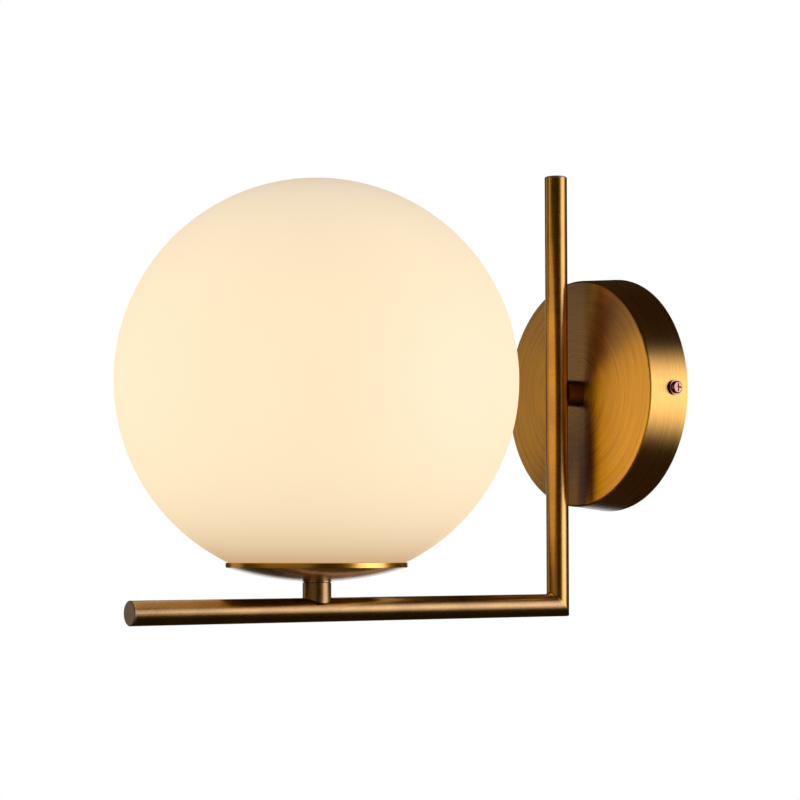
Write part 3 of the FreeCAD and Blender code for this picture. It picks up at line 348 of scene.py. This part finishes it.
# the dark and bright ends of the colour on the pieces that have their own: a patina on the sleeve and
# the cap, and on the arm and the stub a darker copy of the rods' brass, painted shade
# painted shade: the horizontal arm is the upright's brass coloured darker, for the light it gets
ARM_SHADED_BRASS = ((0.23, 0.110, 0.008), (0.42, 0.215, 0.022))
SLEEVE_PATINA = ((0.26, 0.125, 0.012), (0.60, 0.310, 0.040))
# painted shade: the stub is the rods' brass coloured much darker, standing in for the shade between
# the rod and the canopy
STUB_SHADED_BRASS = ((0.16, 0.060, 0.012), (0.30, 0.120, 0.030))
CAP_PATINA = ((0.34, 0.19, 0.09), (0.52, 0.31, 0.16))
# a pressed front also gets the painted shade of the upright rod
CANOPY_PRESSED = (0.03, 0.0007, -0.003)

LOOKS = {
    "rod_brass": brass("rod_brass", 0.30, (3, 3, 3)),
    "upright_brass": brass("upright_brass", 0.30, (0.3, 0.3, 4)),
    "arm_brass": brass("arm_brass", 0.30, (1.3, 1.0, 1.3), *ARM_SHADED_BRASS),
    "sleeve_brass": brass("sleeve_brass", 0.38, (1.6, 1.6, 1.6), *SLEEVE_PATINA),
    "stub_brass": brass("stub_brass", 0.36, (4, 4, 4), *STUB_SHADED_BRASS),
    "cap_brass": brass("cap_brass", 0.5, (5, 5, 5), *CAP_PATINA),
    "canopy_brass": turned_brass("canopy_brass", 0.33, (0, 0, 0), (X, Z), 1.6, 0.85, CANOPY_PRESSED),
    "dish_brass": turned_brass("dish_brass", 0.30, SHADE_AXIS, (X, Y), 2.0, 0.3, coat_roughness=0.15),
    "screw_bronze": plain("screw_bronze", (0.42, 0.20, 0.11), 0.3, metallic=1.0),
    "opal_glass": opal(),
    "zinc_steel": plain("zinc_steel", (0.62, 0.63, 0.64), 0.35, metallic=1.0),
    "contact_brass": plain("contact_brass", (0.72, 0.52, 0.22), 0.3, metallic=1.0),
    "white_nylon": plain("white_nylon", (0.80, 0.79, 0.75), 0.45),
    "black_thermoset": plain("black_thermoset", (0.02, 0.02, 0.021), 0.35),
    "dark_fibre": plain("dark_fibre", (0.03, 0.02, 0.015), 0.7),
    "silicone": plain("silicone", (0.75, 0.74, 0.70), 0.5),
    "porcelain": plain("porcelain", (0.85, 0.84, 0.80), 0.15),
    "nickel_shell": plain("nickel_shell", (0.66, 0.62, 0.56), 0.25, metallic=1.0),
    "bulb_housing": plain("bulb_housing", (0.82, 0.82, 0.80), 0.4),
    "bulb_diffuser": plain("bulb_diffuser", (0.88, 0.87, 0.83), 0.5),
    "led_board_white": plain("led_board_white", (0.8, 0.82, 0.8), 0.3),
    "brown_sleeve": plain("brown_sleeve", (0.16, 0.06, 0.025), 0.4),
    "blue_sleeve": plain("blue_sleeve", (0.03, 0.12, 0.5), 0.4),
    "green_yellow_sleeve": plain("green_yellow_sleeve", (0.65, 0.6, 0.03), 0.4),
}


# nodes with their own grain and patina, and the arm and the stub with their own painted shade
OWN_LOOK = {
    "vertical_rod": "upright_brass",
    "horizontal_rod": "arm_brass",
    "stem": "sleeve_brass",
    "stub": "stub_brass",
}


BEAD_HALF_TURN = math.radians(78)   # how far round the tube the bead reaches on each side
BEAD_RINGS = 9
BEAD_SIDES = 10
BEAD_RADIUS = 0.0014
BEAD_UNEVEN = 0.0002
BEAD_FLATNESS = 0.55                # its height over its half width
MITRE_LENGTH = 1.414                # of the mitre's ellipse, over the tube's width


def bead_rings(shape, low, front, tube):
    """Rings of points round the bead's middle line, which follows the mitre over the tube."""
    outward = Vector((0, -1, 1)).normalized()
    for step in range(BEAD_RINGS):
        turn = BEAD_HALF_TURN * (2 * step / (BEAD_RINGS - 1) - 1)
        radius = BEAD_RADIUS + BEAD_UNEVEN * math.sin(3.1 * step)
        drop = tube * (1 - math.cos(turn))
        centre = Vector((tube * math.sin(turn), front + drop, low - drop))
        slope = math.sin(turn) / MITRE_LENGTH
        along = Vector((math.cos(turn), slope, -slope)).normalized()
        across = along.cross(outward).normalized()
        ring = []
        for corner in range(BEAD_SIDES):
            angle = math.tau * corner / BEAD_SIDES
            side = across * radius * math.cos(angle)
            height = outward * radius * BEAD_FLATNESS * math.sin(angle)
            ring.append(shape.verts.new(centre + side + height))
        yield ring


def corner_braze():
    """The bead of braze in the inner corner of the L, a small saddle along the mitre's top."""
    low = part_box("horizontal_rod")[1].z
    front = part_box("vertical_rod")[0].y
    shape = bmesh.new()
    rings = list(bead_rings(shape, low, front, radius_of("vertical_rod_cap", X)))
    for first, second in zip(rings, rings[1:]):
        for corner in range(BEAD_SIDES):
            following = (corner + 1) % BEAD_SIDES
            shape.faces.new((first[corner], first[following], second[following], second[corner]))
    shape.faces.new(rings[0][::-1])
    shape.faces.new(rings[-1])
    bmesh.ops.recalc_face_normals(shape, faces=shape.faces)
    for face in shape.faces:
        face.smooth = True
    mesh = bpy.data.meshes.new("corner_braze")
    shape.to_mesh(mesh)
    shape.free()
    mesh.materials.append(LOOKS["upright_brass"].material)
    bead = bpy.data.objects.new("corner_braze", mesh)
    bpy.context.scene.collection.objects.link(bead)
    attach(bead, "lamp_frame")


def dress():
    """Gives every CAD node the look of the record's slot that it carries, or its own."""
    for name, node in NODES.items():
        slots = node.data.materials
        look = OWN_LOOK.get(name) or slots[0].name.split(".")[0]
        slots.clear()
        slots.append(LOOKS[look].material)


# ---------------------------------------------------------------- stage
FLOOR_DROP = 0.35          # lowest point of the lamp to the floor
FLOOR_RADIUS = 6.0
FADE_START = 0.45          # from the floor's middle, where it starts to turn white
FADE_END = 1.1             # and where it is white


def seen_directly(nodes, links):
    """1 for rays that show the background: from the camera, and in metal and glass."""
    rays = nodes.new("ShaderNodeLightPath").outputs
    total = rays["Is Camera Ray"]
    for name in ("Is Glossy Ray", "Is Transmission Ray"):
        add = nodes.new("ShaderNodeMath")
        add.operation = "ADD"
        add.use_clamp = True
        links.new(total, add.inputs[0])
        links.new(rays[name], add.inputs[1])
        total = add.outputs[0]
    return total


def floor():
    """A pale floor that turns into the white background away from the lamp."""
    mesh = bpy.data.meshes.new("floor")
    shape = bmesh.new()
    bmesh.ops.create_circle(shape, cap_ends=True, radius=FLOOR_RADIUS, segments=96)
    shape.to_mesh(mesh)
    shape.free()
    plane = bpy.data.objects.new("floor", mesh)
    plane.location = (SHADE_AXIS.x, SHADE_AXIS.y / 2, CAD_BOX[0].z - FLOOR_DROP)
    bpy.context.scene.collection.objects.link(plane)
    look = Look("floor")
    look.shape(base_color=(0.82, 0.82, 0.81), roughness=0.9)
    distance = look.around((0, 0, 0), (X, Y))[0]
    inputs = {"Value": distance, "From Min": FADE_START / MM, "From Max": FADE_END / MM}
    fade = look.node("MapRange", inputs, interpolation_type="SMOOTHSTEP").outputs["Result"]
    factor = look.math("MULTIPLY", fade, seen_directly(look.nodes, look.links))
    glow = look.node("Emission", {"Color": (1, 1, 1), "Strength": 1.0})
    mix = look.node("MixShader", {"Fac": factor, 1: look.surface.outputs[0], 2: glow.outputs[0]})
    output = look.nodes["Material Output"]
    look.links.new(mix.outputs[0], output.inputs["Surface"])
    mesh.materials.append(look.material)


WORLD_FILL = 0.55


def world():
    made = bpy.data.worlds.new("world")
    made.use_nodes = True
    bpy.context.scene.world = made
    nodes, links = made.node_tree.nodes, made.node_tree.links
    background = nodes["Background"]
    background.inputs["Color"].default_value = (1, 1, 1, 1)
    strength = nodes.new("ShaderNodeMapRange")
    strength.inputs["To Min"].default_value = WORLD_FILL
    strength.inputs["To Max"].default_value = 1.0
    links.new(seen_directly(nodes, links), strength.inputs["Value"])
    links.new(strength.outputs[0], background.inputs["Strength"])


# ---------------------------------------------------------------- camera
# fitted to the outlines of the lamp: yaw is from the wall's normal, pitch is up
CAMERA_PLACE = Vector((0.86985, -0.71537, -0.08416))
CAMERA_YAW = math.radians(-56.416)
CAMERA_PITCH = math.radians(3.064)
CAMERA_ROLL = math.radians(-0.050)
CAMERA_LENS_MM = 92.60
CAMERA_SHIFT = (0.0, 0.05)


def camera_axes():
    """The camera's right, up and forward directions."""
    forward = Vector((
        math.sin(CAMERA_YAW) * math.cos(CAMERA_PITCH),
        math.cos(CAMERA_YAW) * math.cos(CAMERA_PITCH),
        math.sin(CAMERA_PITCH),
    ))
    right = Vector((math.cos(CAMERA_YAW), -math.sin(CAMERA_YAW), 0))
    up = right.cross(forward)
    level = math.cos(CAMERA_ROLL), math.sin(CAMERA_ROLL)
    return right * level[0] + up * level[1], up * level[0] - right * level[1], forward


def camera():
    right, up, forward = camera_axes()
    data = bpy.data.cameras.new("camera")
    data.lens = CAMERA_LENS_MM
    data.shift_x, data.shift_y = CAMERA_SHIFT
    made = bpy.data.objects.new("camera", data)
    turn = Matrix((right, up, -forward)).transposed().to_4x4()
    made.matrix_world = Matrix.Translation(CAMERA_PLACE) @ turn
    bpy.context.scene.collection.objects.link(made)
    bpy.context.scene.camera = made


# ---------------------------------------------------------------- light
LIGHT_CENTRE = Vector((0, -0.12, 0))
CAMERA_SIDE = Vector((math.sin(-CAMERA_YAW), -math.cos(CAMERA_YAW), 0))
RIGHT_SIDE = Vector((math.cos(CAMERA_YAW), -math.sin(CAMERA_YAW), 0))


def towards(turn, rise=0.0):
    """A direction from the lamp, turned in degrees to the right of the camera, then raised."""
    turn, rise = math.radians(turn), math.radians(rise)
    level = CAMERA_SIDE * math.cos(turn) + RIGHT_SIDE * math.sin(turn)
    return level * math.cos(rise) + Vector((0, 0, math.sin(rise)))


def softbox(name, turn, rise, distance, width, height, radiance):
    """A rectangular area lamp that faces the lamp. radiance is what it shows when looked at."""
    data = bpy.data.lights.new(name, "AREA")
    data.shape = "RECTANGLE"
    data.size = width
    data.size_y = height
    data.energy = radiance * math.pi * width * height
    made = bpy.data.objects.new(name, data)
    way = towards(turn, rise)
    made.location = LIGHT_CENTRE + way * distance
    made.rotation_euler = way.to_track_quat("Z", "Y").to_euler()
    bpy.context.scene.collection.objects.link(made)
    return made


def lights():
    for lamp in (
        softbox("right_side", 95, 5, 1.6, 1.0, 1.4, 1.6),
        softbox("left_side", -95, 5, 1.6, 1.0, 1.4, 1.4),
    ):
        lamp.visible_glossy = False


# what the brass mirrors: soft bright screens in dark surroundings, with white behind the lamp
SURROUND_RADIUS = 2.2
SURROUND_FOOT = 0.12            # over the floor
SURROUND_COLOUR = (0.026, 0.017, 0.009)
# each screen's direction to the right of the camera and up, half its width and height, the
# softness of its sides and ends, all in degrees, and its colour
SCREENS = (
    ((73, 0), (11, 6), (19, 32), (2.8, 2.95, 4.5)),
    ((-73, 16), (8, 5), (10, 8), (0.85, 0.77, 0.66)),
    ((-35, -14), (22, 6), (16, 8), (0.50, 0.43, 0.33)),
    ((-118, 5), (10, 8), (8, 12), (0.46, 0.41, 0.34)),
    ((180, -4), (12, 12), (8, 8), (1.0, 1.0, 1.0)),
)


def screen(look, azimuth, elevation, place, half, soft, colour):
    """A soft-edged bright patch on the surroundings."""
    off_side = look.math("ABSOLUTE", look.math("SUBTRACT", azimuth, place[0]))
    off_side = look.math("MINIMUM", off_side, look.math("SUBTRACT", 360, off_side))
    off_level = look.math("ABSOLUTE", look.math("SUBTRACT", elevation, place[1]))
    level = 1.0
    for off, flat, edge in ((off_side, half[0], soft[0]), (off_level, half[1], soft[1])):
        inputs = {"Value": off, "From Min": flat, "From Max": flat + edge}
        inputs.update({"To Min": 1.0, "To Max": 0.0})
        fade = look.node("MapRange", inputs, interpolation_type="SMOOTHSTEP").outputs["Result"]
        level = look.math("MULTIPLY", level, fade)
    made = look.node("VectorMath", {0: colour, "Scale": level}, operation="SCALE")
    return made.outputs["Vector"]


def surround_look():
    look = Look("surroundings")
    offset = look.vector("SUBTRACT", look.place, tuple(LIGHT_CENTRE / MM))
    way = look.vector("NORMALIZE", offset)
    side, front = (
        look.node("VectorMath", {0: way, 1: tuple(axis)}, operation="DOT_PRODUCT").outputs["Value"]
        for axis in (RIGHT_SIDE, CAMERA_SIDE)
    )
    rise = look.node("SeparateXYZ", {"Vector": way}).outputs["Z"]
    degrees = 180 / math.pi
    azimuth = look.math("MULTIPLY", look.math("ARCTAN2", side, front), degrees)
    elevation = look.math("MULTIPLY", look.math("ARCSINE", rise), degrees)
    light = SURROUND_COLOUR
    for place, half, soft, colour in SCREENS:
        light = look.vector("ADD", light, screen(look, azimuth, elevation, place, half, soft, colour))
    glow = look.node("Emission", {"Color": light, "Strength": 1.0})
    look.links.new(glow.outputs[0], look.nodes["Material Output"].inputs["Surface"])
    return look


def surroundings():
    """A dome round the set that only reflections show. Its foot is flat, just over the floor."""
    shape = bmesh.new()
    bmesh.ops.create_uvsphere(shape, u_segments=96, v_segments=48, radius=SURROUND_RADIUS)
    foot = CAD_BOX[0].z - FLOOR_DROP + SURROUND_FOOT - LIGHT_CENTRE.z
    for vert in shape.verts:
        vert.co.z = max(vert.co.z, foot)
        vert.co += LIGHT_CENTRE
    mesh = bpy.data.meshes.new("surroundings")
    shape.to_mesh(mesh)
    shape.free()
    mesh.materials.append(surround_look().material)
    dome = bpy.data.objects.new("surroundings", mesh)
    dome.visible_camera = False
    dome.visible_diffuse = False
    dome.visible_transmission = False
    dome.visible_shadow = False
    bpy.context.scene.collection.objects.link(dome)


bpy.context.scene.view_settings.view_transform = "Standard"
dress()
corner_braze()
floor()
world()
camera()
lights()
surroundings()
